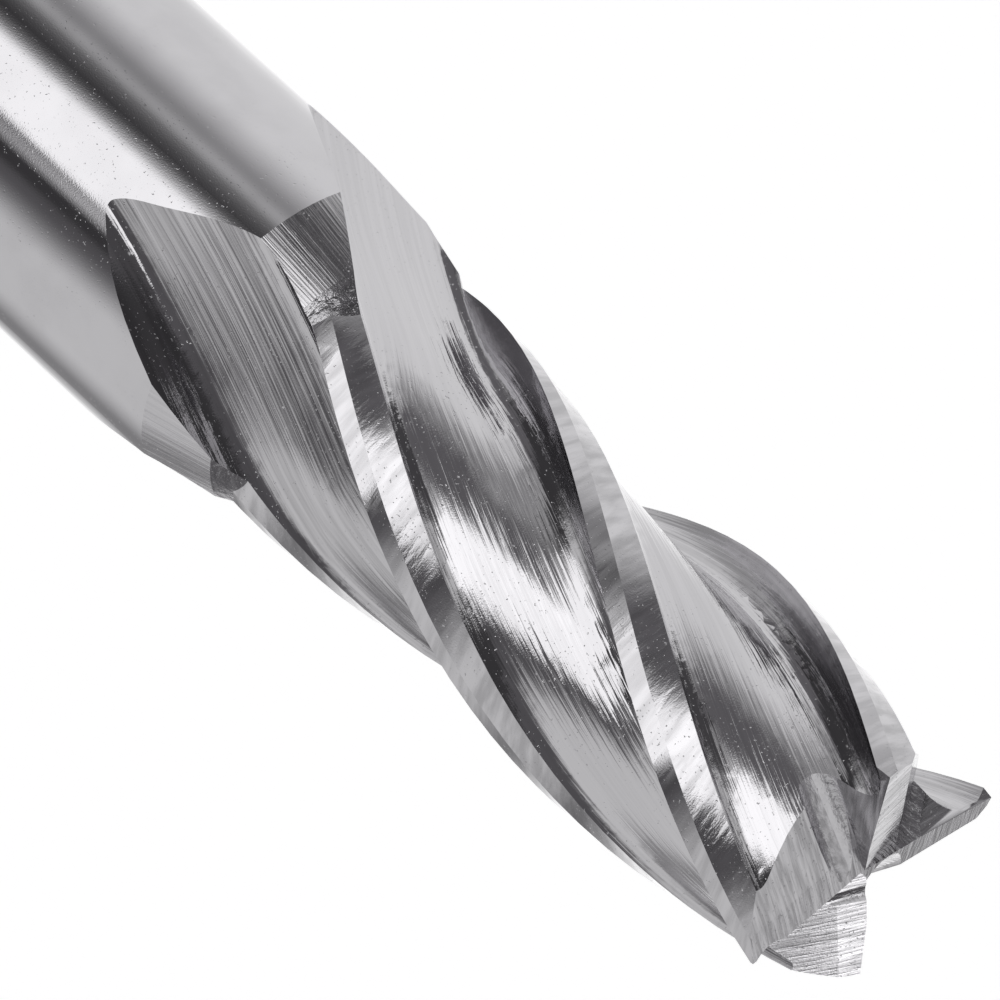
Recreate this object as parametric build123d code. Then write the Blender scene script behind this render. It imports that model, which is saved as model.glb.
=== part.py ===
from build123d import *
import math
import numpy
import os

# Four-flute square end mill, right-hand helix and right-hand cut, centre cutting.
# Millimetres and degrees. It stands on its shank end, with its cutting end up.

# Blank
cutting_diameter = 7.9375
shank_diameter = 9.525
overall_length = 63.5
cut_length = 19.05
ramp_length = 2.86
shank_chamfer = 0.5
centre_hole_diameter = 2.0
centre_hole_angle = 60.0

# Teeth along the body
flute_count = 4
helix_angle = 30.0
primary_land = 0.58
primary_relief = 9.3
secondary_land = 1.0
secondary_relief = 30.0
relief_runout = 0.87

# Flutes, as the section of the disc wheel that grinds them and where it stops
core_diameter = 5.27
wheel_diameter = 61.4
wheel_offset = 0.28
wheel_floor = 3.69
wheel_floor_rise = 5.5
wheel_rake_flank = 9.0
wheel_heel_flank = 23.0
wheel_corner = 0.48
wheel_stop = 3.02
section_step = 2.75

# End teeth and the gashes ahead of them
end_dish = 5.0
gash_nose = 0.53
gash_rake_flank = 9.5
gash_back_flank = 8.0

# Each end tooth is ground by itself, and the first and third reach the centre. Its gash: the angle
# that it sinks at, where it starts from the axis and how far ahead of the tooth it runs.
# Its reliefs: the primary land, and the primary and secondary angle.
end_gashes = (
    (32.0, -0.35, 0.7),
    (22.0, -0.6, 0.75),
    (32.0, -0.35, 0.6),
    (32.0, 0.5, 0.6),
)
end_reliefs = (
    (0.5, 24.0, 28.5),
    (0.68, 20.0, 24.0),
    (0.9, 8.0, 34.0),
    (0.8, 10.0, 34.0),
)

# Sizes that follow from the ones above
cutting_radius = cutting_diameter / 2
shank_radius = shank_diameter / 2
core_radius = core_diameter / 2
wheel_radius = wheel_diameter / 2
clear_radius = 1.25 * max(cutting_radius, shank_radius)
tip_z = overall_length
land_z = tip_z - cut_length
ramp_z = land_z - ramp_length
stop_z = land_z + wheel_stop
tooth_pitch = 360 / flute_count
helix_rate = math.tan(math.radians(helix_angle)) / cutting_radius


def edge_angle(z):
    """Angle of the first cutting edge at height z, zero at the tip."""
    return math.degrees(helix_rate * (z - tip_z))


def polar(radius, degrees, z=0.0):
    angle = math.radians(degrees)
    return Vector(radius * math.cos(angle), radius * math.sin(angle), z)


def blank():
    """Shank, ramp down to the cutting diameter, end chamfer and centre hole."""
    outline = Polyline(
        (0, 0),
        (shank_radius - shank_chamfer, 0),
        (shank_radius, shank_chamfer),
        (shank_radius, ramp_z),
        (cutting_radius, land_z),
        (cutting_radius, tip_z),
        (0, tip_z),
        close=True,
    )
    turned = revolve(Plane.XZ * make_face(outline), Axis.Z)
    hole_radius = centre_hole_diameter / 2
    hole_depth = hole_radius / math.tan(math.radians(centre_hole_angle / 2))
    return turned - Pos(0, 0, hole_depth / 2) * Cone(hole_radius, 0, hole_depth)


def relief_envelope():
    """What the two relief passes leave of the lands, ending in a short steep runout on the ramp."""
    lean = math.radians(primary_relief)
    fall = math.radians(secondary_relief)
    edge = Vector(cutting_radius, 0)
    back = edge - Vector(math.sin(lean), math.cos(lean)) * primary_land
    heel = back - Vector(math.sin(fall), math.cos(fall)) * secondary_land
    corners = [
        point.rotate(Axis.Z, -tooth * tooth_pitch)
        for tooth in range(flute_count)
        for point in (edge, back, heel)
    ]
    start_z = land_z - relief_runout
    section = Rot(Z=edge_angle(start_z)) * make_face(Polyline(*corners, close=True))
    top_z = tip_z + cutting_radius
    lands = Solid.extrude_linear_with_rotation(
        Pos(0, 0, start_z) * section.face(),
        (0, 0, start_z),
        (0, 0, top_z - start_z),
        edge_angle(top_z) - edge_angle(start_z),
    )
    ramp_slope = (shank_radius - cutting_radius) / ramp_length
    start_radius = cutting_radius + ramp_slope * relief_runout
    heel_radius = heel.length
    stem = Pos(0, 0, start_z / 2) * Cylinder(clear_radius, start_z)
    runout = Pos(0, 0, start_z + relief_runout / 2) * Cone(start_radius, heel_radius, relief_runout)
    return Part() + [lands, stem, runout]


def wheel_point(across, up, roll):
    """Point of the wheel's rim, rolled about its axle: outward, sideways and along the tool."""
    lean = math.radians(helix_angle)
    radius = wheel_radius - up
    back = radius * math.sin(roll)
    return (
        core_radius + wheel_radius - radius * math.cos(roll),
        across * math.cos(lean) - back * math.sin(lean),
        -across * math.sin(lean) - back * math.cos(lean),
    )


def touch_roll(spot, way):
    """Roll at which a point of the rim last touches the flute: there it moves within the surface."""
    lean = math.radians(helix_angle)
    centre = core_radius + wheel_radius
    a = helix_rate * math.cos(lean) * (way.X * spot.X - way.Y * (wheel_radius - spot.Y))
    b = -way.X * (helix_rate * math.sin(lean) * centre + math.cos(lean))
    c = -way.Y * (helix_rate * math.cos(lean) * centre - math.sin(lean))
    swing = math.acos(max(-1.0, min(1.0, c / math.hypot(a, b))))
    rolls = [math.atan2(b, a) + turn * swing for turn in (-1, 1)]
    return min(((roll + math.pi) % math.tau - math.pi for roll in rolls), key=abs)


def wheel_rim():
    """Points of the rim that grinds the flute, from its rake flank to its heel flank.

    Each is its place across the wheel, its height above the deepest line and its last roll
    in the flute. The flanks only clear the mouth of the flute, so they keep their foot's roll.
    """
    top = clear_radius - core_radius
    slope = math.tan(math.radians(wheel_floor_rise))
    rake_foot = Vector(-wheel_offset, -wheel_offset * slope)
    heel_foot = rake_foot + Vector(wheel_floor, wheel_floor * slope)
    rake_top = rake_foot.X - (top - rake_foot.Y) * math.tan(math.radians(wheel_rake_flank))
    heel_top = heel_foot.X + (top - heel_foot.Y) * math.tan(math.radians(wheel_heel_flank))
    rim = FilletPolyline(
        (rake_top, top), rake_foot, heel_foot, (heel_top, top), radius=wheel_corner
    )
    rake, rake_corner, floor, heel_corner, heel = rim.edges()
    points = []
    for edge, foot, shares in (
        (rake, 1, (0, 0.5)),
        (rake_corner, None, (0, 0.06, 0.18, 0.4, 0.7)),
        (floor, None, (0, 0.35, 0.7)),
        (heel_corner, None, (0, 0.33, 0.67)),
        (heel, 0, (0, 0.4, 1)),
    ):
        for share in shares:
            spot = edge @ share
            at = share if foot is None else foot
            points.append((spot.X, spot.Y, touch_roll(edge @ at, edge % at)))
    return points


def flute_mark(across, up, roll, z):
    """Radius and angle of the mark that a point of the rim leaves at height z.

    Above its last touch the mark runs on along the helix, and below it is the wheel's own arc.
    """
    lean = math.radians(helix_angle)
    out, side, along = wheel_point(across, up, roll)
    turn = edge_angle(z) - edge_angle(stop_z + along)
    if z < stop_z + along:
        reach = (stop_z - across * math.sin(lean) - z) / ((wheel_radius - up) * math.cos(lean))
        out, side, along = wheel_point(across, up, math.asin(reach))
        turn = 0
    return math.hypot(out, side), math.degrees(math.atan2(side, out)) + turn + edge_angle(stop_z)


def rake_lead(rim):
    """Turn that brings the top of the rake face onto the cutting edge."""
    marks = [flute_mark(*point, tip_z) for point in rim]
    deepest = marks.index(min(marks))
    radii, angles = zip(*reversed(marks[: deepest + 1]))
    return -float(numpy.interp(cutting_radius, radii, angles))


def flute():
    """Space that the wheel clears ahead of the first tooth, with its long curved runout."""
    rim = wheel_rim()
    lead = rake_lead(rim)
    tip_marks = [polar(*flute_mark(*point, tip_z)) for point in rim]
    steps = [(b - a).length for a, b in zip(tip_marks, tip_marks[1:])]
    shares = [sum(steps[:i]) / sum(steps) for i in range(len(rim))]
    shares[-1] = 1.0
    last_roll = math.acos(1 - (clear_radius - core_radius) / wheel_radius)
    low_z = stop_z - wheel_radius * math.sin(last_roll) * math.cos(math.radians(helix_angle))
    high_z = tip_z + section_step
    levels = math.ceil((high_z - low_z) / section_step)
    sections = []
    for level in range(levels + 1):
        z = low_z + (high_z - low_z) * level / levels
        marks = [flute_mark(*point, z) for point in rim]
        floor = Edge.make_spline([polar(r, angle + lead, z) for r, angle in marks], parameters=shares)
        (rake_r, rake_a), (heel_r, heel_a) = marks[0], marks[-1]
        outside = polar(1.3 * max(rake_r, heel_r), (rake_a + heel_a) / 2 + lead, z)
        sections.append(make_face([floor, Edge.make_three_point_arc(floor @ 1, outside, floor @ 0)]))
    return loft(sections)


def edge_lag(angle, start, ahead):
    """How far an end tooth's corner lies behind its radius, where the gash's rake flank comes out."""
    sunk = (cutting_radius - start) * math.sin(math.radians(angle))
    return gash_nose - ahead + sunk * math.tan(math.radians(gash_rake_flank))


def end_relief(lag, ahead, primary_width, primary, secondary):
    """Space above one end tooth: dished edge, and primary and secondary relief behind it."""
    first = math.tan(math.radians(primary))
    second = math.tan(math.radians(secondary))
    back = -lag - primary_width
    outline = Polyline(
        (ahead, (ahead + lag) * first),
        (back, -primary_width * first),
        (-clear_radius, -primary_width * first - (clear_radius + back) * second),
        (-clear_radius, clear_radius),
        (ahead, clear_radius),
        close=True,
    )
    dish = math.radians(end_dish)
    corner = Plane((cutting_radius, 0, tip_z), x_dir=(0, 1, 0), z_dir=(math.cos(dish), 0, math.sin(dish)))
    section = corner * make_face(outline)
    return extrude(section, cutting_radius) + extrude(section, -cutting_radius / math.cos(dish))


def gash(angle, start, ahead):
    """Round-nosed notch ahead of an end tooth, sinking outward from where it starts."""
    up = 2 * clear_radius
    outline = FilletPolyline(
        (-gash_nose - up * math.tan(math.radians(gash_rake_flank)), up),
        (-gash_nose, 0),
        (gash_nose, 0),
        (gash_nose + up * math.tan(math.radians(gash_back_flank)), up),
        radius=gash_nose,
    )
    fall = math.radians(angle)
    mouth = Plane((start, ahead, tip_z), x_dir=(0, 1, 0), z_dir=(math.cos(fall), 0, -math.sin(fall)))
    section = mouth * make_face([outline, Line(outline @ 1, outline @ 0)])
    return extrude(section, 2 * clear_radius) + extrude(section, -clear_radius)


def end_mill():
    tool = blank() & relief_envelope()
    groove = flute()
    for tooth in range(flute_count):
        turn = Rot(Z=-tooth * tooth_pitch)
        notch = end_gashes[tooth % len(end_gashes)]
        relief = end_reliefs[tooth % len(end_reliefs)]
        tool = tool - turn * groove - turn * gash(*notch)
        tool = tool - turn * end_relief(edge_lag(*notch), notch[-1], *relief)
    return tool


os.makedirs("parts", exist_ok=True)
tool = end_mill()
export_step(tool, "parts/end_mill.step")
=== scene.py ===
import math
import bmesh
import bpy
from mathutils import Matrix, Vector


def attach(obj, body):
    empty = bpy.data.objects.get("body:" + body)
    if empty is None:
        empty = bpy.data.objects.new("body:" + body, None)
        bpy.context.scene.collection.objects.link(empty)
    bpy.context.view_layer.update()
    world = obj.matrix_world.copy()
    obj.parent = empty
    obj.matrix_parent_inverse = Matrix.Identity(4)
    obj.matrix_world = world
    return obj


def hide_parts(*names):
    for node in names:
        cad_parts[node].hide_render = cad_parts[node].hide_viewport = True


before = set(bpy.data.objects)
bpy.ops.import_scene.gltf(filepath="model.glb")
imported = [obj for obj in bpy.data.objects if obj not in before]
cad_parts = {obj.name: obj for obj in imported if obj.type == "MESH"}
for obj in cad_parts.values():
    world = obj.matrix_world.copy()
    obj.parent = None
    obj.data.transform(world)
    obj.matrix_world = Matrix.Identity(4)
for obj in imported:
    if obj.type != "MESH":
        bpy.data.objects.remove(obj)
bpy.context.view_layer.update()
print("frame loaded")

scene = bpy.context.scene
scene.view_settings.view_transform = "Standard"

# the photograph's view, from above and beside the cutting end, rolled so that the tool lies aslant
camera = {
    "place": (-0.21105, -0.10668, 0.16572),
    "yaw": -63.0324,
    "tilt": 63.7533,
    "roll": 132.5436,
    "lens": 381.2,
    "sensorWidth": 36,
    "clip": (0.01, 10),
}


def rotation(degrees, axis):
    return Matrix.Rotation(math.radians(degrees), 4, axis)


def makeCamera(c):
    data = bpy.data.cameras.new("camera")
    data.lens = c["lens"]
    data.sensor_width = c["sensorWidth"]
    data.clip_start, data.clip_end = c["clip"]
    cam = bpy.data.objects.new("camera", data)
    aim = rotation(c["yaw"], "Z") @ rotation(c["tilt"], "X") @ rotation(c["roll"], "Z")
    cam.matrix_world = Matrix.Translation(c["place"]) @ aim
    scene.collection.objects.link(cam)
    scene.camera = cam


makeCamera(camera)
print("camera placed")

# the tool's ground surfaces, in millimetres and degrees, by which its faces are sorted
ground = {
    "cutRadius": 3.96875,
    "shankRadius": 4.7625,
    "shankFoot": 1,  # end chamfer and centre hole lie below it
    "ramp": ((41.59, 4.7625), (44.45, 3.96875)),  # a cone's lower and upper height and radius
    "runout": ((43.58, 4.2102), (44.45, 3.6688)),
    "tip": 63.5,
    "endDepth": 4,  # end teeth and gashes lie this near the tip
    "pitch": 90,
    "helix": 30,
    "primaryLand": (9.3, 0.58),  # relief and width
    "secondaryLand": (30, 1.0),
    "dish": 5,
    "endReliefs": ((24, 28.5), (20, 24), (8, 34), (10, 34)),
    "gashes": ((32, -0.35, 0.7), (22, -0.6, 0.75), (32, -0.35, 0.6), (32, 0.5, 0.6)),
    "gashNose": 0.53,
    "gashFlanks": (9.5, 8),
    "wheelStop": (45.5, 48.2),  # heights between which a flute leaves the wheel's own arc for the helix
    "wheelSide": -125.9,  # where the first flute's wheel came in
    "wheelMiddle": 1.9,  # the middle of a flute's runout, along the axle
}
# how far a face may be off and still count, in millimetres; outward and endFacing are cosines
near = {
    "shank": 0.004,
    "cone": 0.01,
    "outward": 0.8,
    "endFacing": 0.99995,
    "land": 0.012,
    "landEnd": 0.02,
    "nose": 0.02,
    "noseTop": 0.1,
    "flank": 0.1,
}
toothCount = 4
helixRate = math.tan(math.radians(ground["helix"])) / ground["cutRadius"]  # radians per millimetre


def onCone(points, mid, ends):
    (low, wide), (high, narrow) = ends
    slope = (wide - narrow) / (high - low)
    between = low - near["cone"] < mid.z < high + near["cone"]
    return between and all(abs(p.xy.length - wide + (p.z - low) * slope) < near["cone"] for p in points)


def landWay(relief):
    lean = math.radians(relief)
    return Vector((-math.sin(lean), -math.cos(lean)))


def onLand(points, start, relief, width):
    way = landWay(relief)
    for p in points:
        off = p.xy - start
        across = off.x * way.y - off.y * way.x
        if abs(across) > near["land"] or not -near["landEnd"] < off.dot(way) < width + near["landEnd"]:
            return False
    return True


def onGash(point, angle, start, ahead):
    fall = math.radians(angle)
    across = point.y - ahead
    up = (point.x - start) * math.sin(fall) + (point.z - ground["tip"]) * math.cos(fall)
    nose = ground["gashNose"]
    if abs(math.hypot(across, up - nose) - nose) < near["nose"]:
        return up < nose + near["noseTop"]
    for side, flank in zip((-1, 1), ground["gashFlanks"]):
        lean = math.radians(flank)
        off = (side * across - nose) * math.cos(lean) - up * math.sin(lean)
        if abs(off) < near["flank"] and up > nose / 2:
            return True
    return False


def wheelWays(flute):
    side, lean = math.radians(ground["wheelSide"] - ground["pitch"] * flute), math.radians(ground["helix"])
    out = Vector((math.cos(side), math.sin(side), 0))
    axle = Vector((-math.sin(side) * math.cos(lean), math.cos(side) * math.cos(lean), -math.sin(lean)))
    return out, axle


def turnedZone(face, points, mid):
    onShank = all(abs(p.xy.length - ground["shankRadius"]) < near["shank"] for p in points)
    if onShank or max(p.z for p in points) < ground["shankFoot"]:
        return "shank"
    outward = mid.xy.to_3d().normalized()
    if onCone(points, mid, ground["ramp"]) and face.normal.dot(outward) > near["outward"]:
        return "ramp"
    if onCone(points, mid, ground["runout"]):
        return "runout"


def endZone(face, mid):
    if mid.z < ground["tip"] - ground["endDepth"]:
        return None
    dish = math.radians(ground["dish"])
    for tooth, reliefs in enumerate(ground["endReliefs"]):
        for land, relief in zip(("endPrimary", "endSecondary"), reliefs):
            lean = math.radians(relief)
            fore = math.cos(lean)
            facing = Vector((-fore * math.sin(dish), -math.sin(lean), fore * math.cos(dish)))
            facing.rotate(rotation(-ground["pitch"] * tooth, "Z"))
            if face.normal.dot(facing) > near["endFacing"]:
                return land + str(tooth + 1)


def toothZone(points, mid):
    edge = Vector((ground["cutRadius"], 0))
    relief, width = ground["primaryLand"]
    for tooth in range(toothCount):
        turned = [rotation(ground["pitch"] * tooth, "Z") @ p for p in points]
        nearTip = mid.z > ground["tip"] - ground["endDepth"]
        if nearTip and all(onGash(p, *ground["gashes"][tooth]) for p in turned):
            return "gash" + str(tooth + 1)
        unwound = [Matrix.Rotation(helixRate * (ground["tip"] - p.z), 3, "Z") @ p for p in turned]
        if onLand(unwound, edge, relief, width):
            return "primaryLand"
        if onLand(unwound, edge + landWay(relief) * width, *ground["secondaryLand"]):
            return "secondaryLand"


def fluteZone(mid):
    stop = ground["wheelStop"][1]
    if mid.z > stop:  # each flute keeps to its own quarter, unwound
        turn = math.degrees(math.atan2(mid.y, mid.x) - helixRate * (mid.z - ground["tip"]))
        return "flute" + str(int((ground["pitch"] - turn) % 360 // ground["pitch"]) + 1)
    fits = []
    for flute in range(toothCount):
        out, axle = wheelWays(flute)
        aside = (mid - Vector((0, 0, stop))).dot(axle) - ground["wheelMiddle"]
        fits.append(mid.dot(out) - abs(aside))
    return "flute" + str(fits.index(max(fits)) + 1)


def zoneOf(face):
    points = [v.co * 1000 for v in face.verts]
    mid = face.calc_center_median() * 1000
    return turnedZone(face, points, mid) or endZone(face, mid) or toothZone(points, mid) or fluteZone(mid)


# lines are the noise scales along X, Y and Z that draw a finish's grinding marks, and tone is how
# much the marks darken it; bump and grain are depths in thousandths of a millimetre
finishes = {
    "shank": {"lines": (700, 700, 700), "tone": 0.06, "roughness": 0.045, "bump": 0, "grain": 0.7},
    "ramp": {
        "lines": (80, 80, 300), "along": "cone",
        "tone": 0.12, "roughness": 0.1, "bump": 16, "grain": 1,
    },
    "runout": {"lines": (3000, 3000, 5000), "tone": 0.1, "roughness": 0.15, "bump": 45, "grain": 3},
    "land": {
        "lines": (600, 600, 4200), "along": "helix",
        "tone": 0.25, "roughness": 0.06, "bump": 11, "grain": 0.8,
    },
    "landBack": {
        "lines": (900, 900, 3600), "along": "helix",
        "tone": 0.3, "roughness": 0.08, "bump": 14, "grain": 1.2,
    },
    "gashX": {"lines": (500, 7000, 7000), "tone": 0.35, "roughness": 0.12, "bump": 15, "grain": 1},
    "gashY": {"lines": (7000, 500, 7000), "tone": 0.35, "roughness": 0.12, "bump": 15, "grain": 1},
    "endX": {"lines": (13000, 1000, 1000), "tone": 0.35, "roughness": 0.12, "bump": 8, "grain": 1.5},
    "endY": {"lines": (1000, 13000, 1000), "tone": 0.35, "roughness": 0.12, "bump": 10, "grain": 1.5},
}
fluteFinish = {"lines": (7500, 7500, 170), "along": "helix", "roughness": 0.03, "bump": 32, "grain": 1.2}
fluteTones = (0.28, 0.07, 0.09, 0.25)
zoneFinish = {
    "shank": "shank", "ramp": "ramp", "runout": "runout", "primaryLand": "land", "secondaryLand": "landBack",
}
for tooth in range(toothCount):
    number, way = str(tooth + 1), "XY"[tooth % 2]
    finishes["flute" + number] = {**fluteFinish, "tone": fluteTones[tooth], "wheel": tooth}
    zoneFinish["flute" + number] = "flute" + number
    zoneFinish["gash" + number] = "gash" + way
    zoneFinish["endPrimary" + number] = zoneFinish["endSecondary" + number] = "end" + way

# what all the finishes share; a range takes the first two values to the last two
steel = {
    "color": (0.66, 0.65, 0.67),
    "lineDetail": 3,
    "lineShare": 0.65,  # the rest is broad marks
    "broad": 0.3,  # their noise scale, as a share of the lines'
    "broadDetail": 1,
    "wheelBars": (150, 7500, 150),  # noise scales out, along and around the wheel's axle
    "markShade": (0.35, 0.65, 0, 1),
    "markHaze": (0.35, 0.65, 0, 0.6),
    "cloud": (700, 700, 700),
    "cloudHaze": (0.3, 0.7, 0.6, 1.2),
    "cloudPits": (0.4, 0.6, 0.3, 1),
    "fine": (24000, 24000, 24000),
    "fineDetail": 2,
    "pits": (13000, 13000, 13000),
    "pitDetail": 1,
    "pitDepth": (0.68, 0.8, 0, 5),
}


def feed(tree, value, socket):
    if isinstance(value, bpy.types.NodeSocket):
        tree.links.new(value, socket)
    else:
        socket.default_value = value


def addNode(tree, kind, link=None, **settings):
    node = tree.nodes.new(kind)
    for key, value in settings.items():
        setattr(node, key, value)
    if link is not None:
        tree.links.new(link, node.inputs[0])
    return node


def noise(tree, place, scale, detail):
    spread = addNode(tree, "ShaderNodeMapping", place)
    spread.inputs["Scale"].default_value = scale
    pattern = addNode(tree, "ShaderNodeTexNoise", spread.outputs[0])
    pattern.inputs["Scale"].default_value = 1
    pattern.inputs["Detail"].default_value = detail
    return pattern.outputs["Fac"]


def ranged(tree, value, low, high, toLow, toHigh):
    ends = addNode(tree, "ShaderNodeMapRange", value, interpolation_type="SMOOTHSTEP")
    for i, end in enumerate((low, high, toLow, toHigh)):
        ends.inputs[i + 1].default_value = end
    return ends.outputs[0]


def joined(tree, operation, a, b):
    both = addNode(tree, "ShaderNodeMath", a, operation=operation)
    feed(tree, b, both.inputs[1])
    return both.outputs[0]


def mixed(tree, kind, factor, a, b):
    mix = addNode(tree, "ShaderNodeMix", data_type=kind)
    feed(tree, factor, mix.inputs["Factor"])
    feed(tree, a, mix.inputs["A"])
    feed(tree, b, mix.inputs["B"])
    return mix.outputs["Result"]


def bumped(tree, height, depth, under=None):
    bump = addNode(tree, "ShaderNodeBump")
    bump.inputs["Strength"].default_value = 1
    bump.inputs["Distance"].default_value = depth / 1e6
    tree.links.new(height, bump.inputs["Height"])
    if under is not None:
        tree.links.new(under, bump.inputs["Normal"])
    return bump.outputs[0]


def coneWay(tree, place):  # marks drawn in it run up a cone
    flat = addNode(tree, "ShaderNodeVectorMath", place, operation="MULTIPLY")
    flat.inputs[1].default_value = (1, 1, 0)
    around = addNode(tree, "ShaderNodeVectorMath", flat.outputs[0], operation="NORMALIZE")
    lifted = addNode(tree, "ShaderNodeVectorMath", place, operation="MULTIPLY_ADD")
    lifted.inputs[1].default_value = (0, 0, 1)
    tree.links.new(around.outputs[0], lifted.inputs[2])
    return lifted.outputs[0]


def helixWay(tree, place):  # marks drawn in it follow the helix
    height = addNode(tree, "ShaderNodeSeparateXYZ", place).outputs["Z"]
    turn = addNode(tree, "ShaderNodeMath", height, operation="MULTIPLY_ADD")
    turn.inputs[1].default_value = -helixRate * 1000
    turn.inputs[2].default_value = helixRate * ground["tip"]
    back = addNode(tree, "ShaderNodeVectorRotate", place, rotation_type="Z_AXIS")
    tree.links.new(turn.outputs[0], back.inputs["Angle"])
    return back.outputs[0]


def broader(scale):
    return [v * steel["broad"] for v in scale]


def belowStop(tree, place, wheel, lines, broad):  # there the marks lie in the plane of the wheel
    out, axle = wheelWays(wheel)
    plane = addNode(tree, "ShaderNodeMapping", place, vector_type="TEXTURE")
    plane.inputs["Rotation"].default_value = Matrix((out, axle, out.cross(axle))).transposed().to_euler()
    height = addNode(tree, "ShaderNodeSeparateXYZ", place).outputs["Z"]
    low = ranged(tree, height, *[v / 1000 for v in ground["wheelStop"]], 1, 0)
    bars = noise(tree, plane.outputs[0], steel["wheelBars"], steel["lineDetail"])
    broadBars = noise(tree, plane.outputs[0], broader(steel["wheelBars"]), steel["lineDetail"])
    return mixed(tree, "FLOAT", low, lines, bars), mixed(tree, "FLOAT", low, broad, broadBars)


def grindingMarks(tree, place, f):
    along = place
    if "along" in f:
        along = {"cone": coneWay, "helix": helixWay}[f["along"]](tree, place)
    lines = noise(tree, along, f["lines"], steel["lineDetail"])
    broad = noise(tree, along, broader(f["lines"]), steel["broadDetail"])
    if "wheel" in f:
        lines, broad = belowStop(tree, place, f["wheel"], lines, broad)
    lines = joined(tree, "MULTIPLY", lines, steel["lineShare"])
    broad = joined(tree, "MULTIPLY", broad, 1 - steel["lineShare"])
    return joined(tree, "ADD", lines, broad)


def pittedGrain(tree, place, cloud):  # the pits lie in patches
    fine = noise(tree, place, steel["fine"], steel["fineDetail"])
    pits = ranged(tree, noise(tree, place, steel["pits"], steel["pitDetail"]), *steel["pitDepth"])
    pits = joined(tree, "MULTIPLY", pits, ranged(tree, cloud, *steel["cloudPits"]))
    return joined(tree, "SUBTRACT", fine, pits)


def makeFinish(name, f):
    made = bpy.data.materials.new(name)
    made.use_nodes = True
    tree = made.node_tree
    shader = tree.nodes["Principled BSDF"]
    shader.inputs["Metallic"].default_value = 1
    place = addNode(tree, "ShaderNodeTexCoord").outputs["Object"]
    marks = grindingMarks(tree, place, f)
    cloud = noise(tree, place, steel["cloud"], steel["fineDetail"])

    dark = [c * (1 - f["tone"]) for c in steel["color"]]
    shade = ranged(tree, marks, *steel["markShade"])
    tree.links.new(mixed(tree, "RGBA", shade, (*steel["color"], 1), (*dark, 1)), shader.inputs["Base Color"])
    worn = ranged(tree, marks, *steel["markHaze"])
    haze = joined(tree, "ADD", ranged(tree, cloud, *steel["cloudHaze"]), worn)
    tree.links.new(joined(tree, "MULTIPLY", haze, f["roughness"]), shader.inputs["Roughness"])
    ridges = bumped(tree, marks, f["bump"])
    tree.links.new(bumped(tree, pittedGrain(tree, place, cloud), f["grain"], ridges), shader.inputs["Normal"])
    return made


dressing = {"merge": 2e-6, "sliver": 1e-7, "crease": 35}  # metres, metres and degrees


def dressTool(source, name, d):
    mesh = source.data.copy()
    mesh.name = name
    piece = bpy.data.objects.new(name, mesh)
    scene.collection.objects.link(piece)
    mesh.materials.clear()
    order = list(finishes)
    for key in order:
        mesh.materials.append(makeFinish(key + "Steel", finishes[key]))
    bm = bmesh.new()
    bm.from_mesh(mesh)
    bmesh.ops.remove_doubles(bm, verts=bm.verts, dist=d["merge"])
    bmesh.ops.dissolve_degenerate(bm, edges=bm.edges, dist=d["sliver"])
    bm.normal_update()
    zones = {face: zoneOf(face) for face in bm.faces}
    for face, zone in zones.items():
        face.material_index = order.index(zoneFinish[zone])
        face.smooth = True
    for edge in bm.edges:
        pair = edge.link_faces
        alike = len(pair) == 2 and zones[pair[0]] == zones[pair[1]]
        edge.smooth = alike and edge.calc_face_angle(0) < math.radians(d["crease"])
    print("faces sorted into", len(set(zones.values())), "zones")
    bm.to_mesh(mesh)
    bm.free()
    return piece


endMill = dressTool(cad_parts["end_mill"], "endMill", dressing)
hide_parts("end_mill")
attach(endMill, "root")
print("tool made")

# the studio that the steel shows: bright soft panels and dark flags, as in the photograph. Azimuths
# count from the camera's side, and width and height are half sizes at a unit's distance
studio = {
    "side": -153.2,
    "tint": (1.01, 0.98, 1.03),
    "tintBelow": 0.3,  # only darker panels have the tint
    "between": 0.11,  # brightness between the panels
    "panels": {
        # azimuth, elevation, roll, width, height, softness, brightness
        "overhead": (0, 90, 0, 0.8, 0.8, 0.7, 0.7),
        "leftFill": (-120, -25, -95, 1.4, 1.05, 0.6, 0.85),
        "rightFill": (85, -15, -55, 1.4, 0.65, 0.6, 0.7),
        "upperFlag": (-35, 20, -12, 1.2, 0.15, 0.45, 0.05),
        "lowFill": (-20, -40, 120, 1.1, 0.55, 0.5, 0.7),
        "fluteStrip": (-5, -8.5, -28, 0.85, 0.23, 0.4, 1.5),
        "shankStrip": (3, -23, -75, 0.2, 0.53, 0.15, 1.35),
        "lowGrey": (-50, -50, -30, 0.45, 0.35, 0.4, 0.15),
        "lowFlag": (-5, -60, -40, 1.2, 0.3, 0.5, 0.05),
        "lowRightFlag": (130, -55, 30, 0.75, 0.25, 0.65, 0.05),
        "leftFlag": (-100, 3, 0, 1.4, 0.15, 0.45, 0.07),
        "landGrey": (-45, -11, -8, 0.55, 0.15, 0.5, 0.14),
        "backdrop": (175, -15, -10, 0.9, 0.5, 0.7, 1.2),
        "backdropTop": (-175, 13, 0, 0.2, 0.2, 0.4, 1.0),
        "farSpot": (145, 47, 0, 0.15, 0.15, 0.35, 1.9),
        "farFill": (-145, 55, 0, 0.3, 0.25, 0.4, 0.7),
        "rightTop": (60, 40, 0, 0.5, 0.3, 0.6, 0.6),
        "runoutSpot": (-25, 38, 0, 0.3, 0.15, 0.3, 1.3),
        "runoutFill": (-65, 14, 0, 0.25, 0.1, 0.3, 0.65),
        "backdropSide": (-168, -12, 0, 0.2, 0.2, 0.4, 0.95),
        "shankFlag": (35, -28, 0, 0.15, 0.2, 0.7, 0.05),
        "underFlag": (40, -75, 0, 0.25, 0.2, 0.5, 0.05),
        "underFill": (120, -38, 0, 0.2, 0.15, 0.5, 0.6),
    },
}


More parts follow.
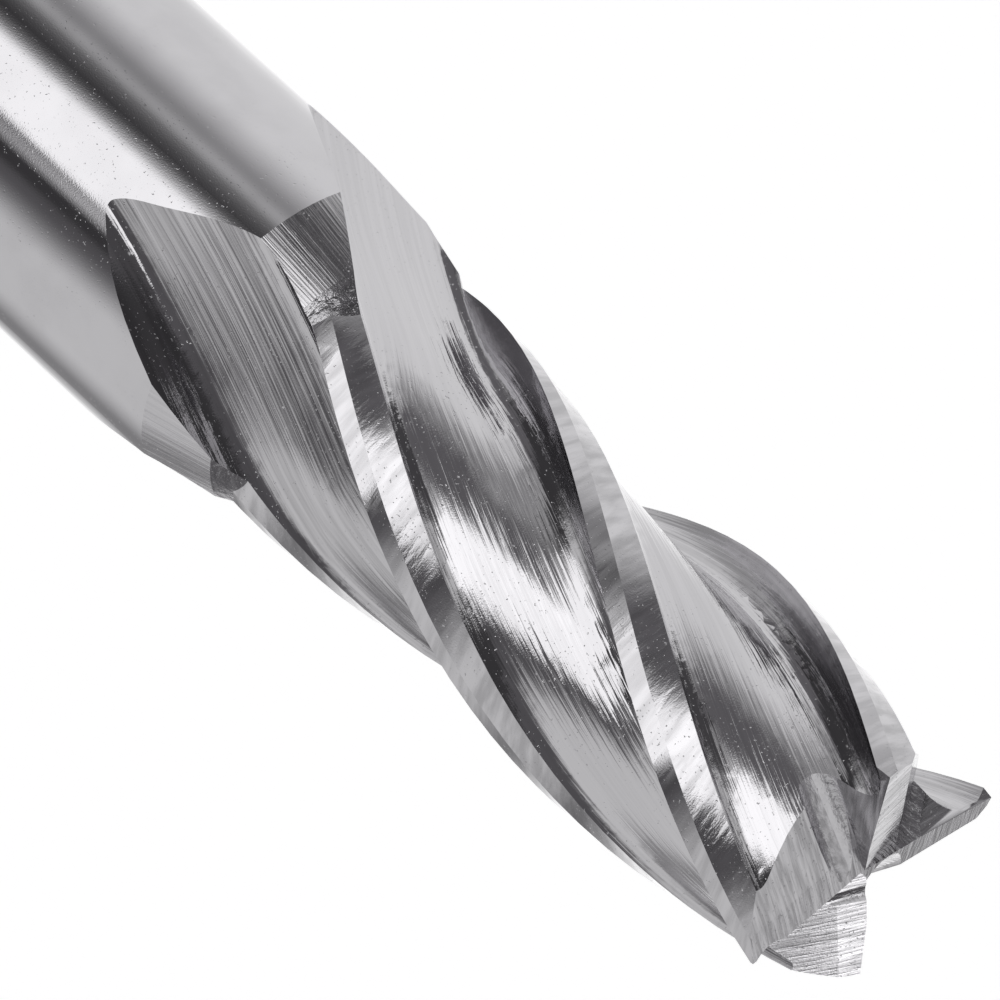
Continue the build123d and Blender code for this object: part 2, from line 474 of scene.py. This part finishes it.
def panelFrame(azimuth, elevation, roll):
    a, e, r = (math.radians(v) for v in (azimuth, elevation, roll))
    out = Vector((math.cos(e) * math.cos(a), math.cos(e) * math.sin(a), math.sin(e)))
    across = Vector((-math.sin(a), math.cos(a), 0))
    side = math.cos(r) * across + math.sin(r) * out.cross(across)
    return out, Matrix((side, out.cross(side), out)).transposed().to_euler()


def makeWorld(s):
    world = bpy.data.worlds.new("studio")
    scene.world = world
    world.use_nodes = True
    tree = world.node_tree
    way = addNode(tree, "ShaderNodeTexCoord").outputs["Generated"]
    light = (*[s["between"] * t for t in s["tint"]], 1)
    for azimuth, elevation, roll, width, height, softness, brightness in s["panels"].values():
        out, turn = panelFrame(azimuth + s["side"], elevation, roll)
        panel = addNode(tree, "ShaderNodeMapping", way, vector_type="TEXTURE")
        panel.inputs["Location"].default_value = out
        panel.inputs["Rotation"].default_value = turn
        panel.inputs["Scale"].default_value = (width, height, max(width, height))
        far = addNode(tree, "ShaderNodeVectorMath", panel.outputs[0], operation="LENGTH").outputs["Value"]
        tint = s["tint"] if brightness < s["tintBelow"] else (1, 1, 1)
        shine = (*[brightness * t for t in tint], 1)
        light = mixed(tree, "RGBA", ranged(tree, far, 1 - softness, 1, 1, 0), light, shine)
    seen = addNode(tree, "ShaderNodeLightPath").outputs["Is Camera Ray"]
    backdrop = mixed(tree, "RGBA", seen, light, (1, 1, 1, 1))
    tree.links.new(backdrop, tree.nodes["Background"].inputs["Color"])


makeWorld(studio)

floorLook = {"radius": 3, "corners": 96, "color": (0.85, 0.85, 0.85), "roughness": 0.9, "glow": 0.65}


def makeFloor(f):
    bm = bmesh.new()
    bmesh.ops.create_circle(bm, cap_ends=True, segments=f["corners"], radius=f["radius"])
    mesh = bpy.data.meshes.new("floor")
    bm.to_mesh(mesh)
    bm.free()
    floor = bpy.data.objects.new("floor", mesh)
    scene.collection.objects.link(floor)
    floor.visible_glossy = False  # so that the studio below it reaches the steel
    floor.visible_shadow = False
    paint = bpy.data.materials.new("floorPaint")
    paint.use_nodes = True
    tree = paint.node_tree
    shader = tree.nodes["Principled BSDF"]
    shader.inputs["Base Color"].default_value = (*f["color"], 1)
    shader.inputs["Roughness"].default_value = f["roughness"]
    shader.inputs["Emission Color"].default_value = (1, 1, 1, 1)
    seen = addNode(tree, "ShaderNodeLightPath").outputs["Is Camera Ray"]
    tree.links.new(joined(tree, "MULTIPLY", seen, f["glow"]), shader.inputs["Emission Strength"])
    mesh.materials.append(paint)


makeFloor(floorLook)
print("studio made")
